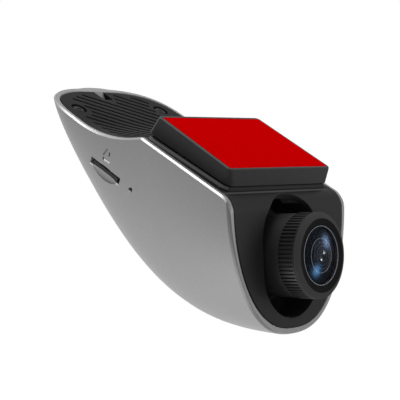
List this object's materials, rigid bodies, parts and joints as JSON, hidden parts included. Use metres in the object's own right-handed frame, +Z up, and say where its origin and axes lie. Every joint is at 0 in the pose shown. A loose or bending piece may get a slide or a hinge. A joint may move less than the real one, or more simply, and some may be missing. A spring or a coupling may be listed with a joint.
{
  "type": "dash camera",
  "caption": "Windscreen dash camera with a boat-shaped silver shell, a grooved black deck, an adhesive mounting plate and a lens that tilts in an upright slot.",
  "frame": {"origin": "centre of the adhesive face that meets the windscreen", "axes": "mounted position: +Z up, +Y towards the tail and the cabin, the lens looks along -Y, X across the car with the card slot on -X"},
  "size_m": [0.0564, 0.0872, 0.0752],
  "materials": {
    "silver_paint": "satin silver paint over moulded plastic",
    "black_plastic": "fine matt grain",
    "deck_plastic": "fine matt grain",
    "red_film": "smooth red release film",
    "foam": "closed-cell acrylic foam, matt",
    "lens_black": "satin black",
    "glass": "polished with a dark coating",
    "circuit_board": "green solder mask",
    "chip_black": "moulded epoxy",
    "bare_steel": "bright plated",
    "dark_steel": "black oxide",
    "rubber": "matt",
    "silicone_grey": "soft matt pad",
    "card_black": "matt black",
    "can_metal": "drawn can"
  },
  "bodies": {
    "housing": {"hull_shell": "silver_paint", "front_panel": "black_plastic", "release_film": "red_film", "foam_tape": "foam", "mounting_plate": "black_plastic", "top_cover": "deck_plastic", "pivot_bracket_left": "black_plastic", "pivot_bracket_right": "black_plastic", "friction_washer_left": "bare_steel", "friction_washer_right": "bare_steel", "card_connector": "bare_steel", "main_board": "circuit_board", "board_screw_1": "bare_steel", "board_screw_2": "bare_steel", "board_screw_3": "bare_steel", "board_screw_4": "bare_steel", "processor": "chip_black", "thermal_pad": "silicone_grey", "memory_chip": "chip_black", "radio_module": "bare_steel", "power_header": "card_black", "backup_capacitor": "can_metal", "microphone": "bare_steel", "microphone_boot": "rubber", "deck_screw_left": "dark_steel", "deck_screw_right": "dark_steel"},
    "lens_unit": {"lens_turret": "lens_black", "knurled_ring": "lens_black", "lens_bezel": "lens_black", "lens_barrel": "lens_black", "front_glass": "glass", "lens_spacer": "lens_black", "middle_glass": "glass", "rear_glass": "glass", "image_sensor": "chip_black", "sensor_board": "circuit_board", "sensor_screw_left": "bare_steel", "sensor_screw_right": "bare_steel", "pivot_screw_left": "bare_steel", "pivot_screw_right": "bare_steel"},
    "card": {"memory_card": "card_black"}
  },
  "joints": [
    {"name": "lens_tilt", "type": "hinge", "parent": "housing", "child": "lens_unit", "pos_m": [0, 0.0033, -0.033], "axis": [1, 0, 0], "range_deg": [-12, 12]},
    {"name": "card_slide", "type": "slide", "parent": "housing", "child": "card", "axis": [-1, 0, 0], "range_m": [-0.001, 0.0125]}
  ]
}
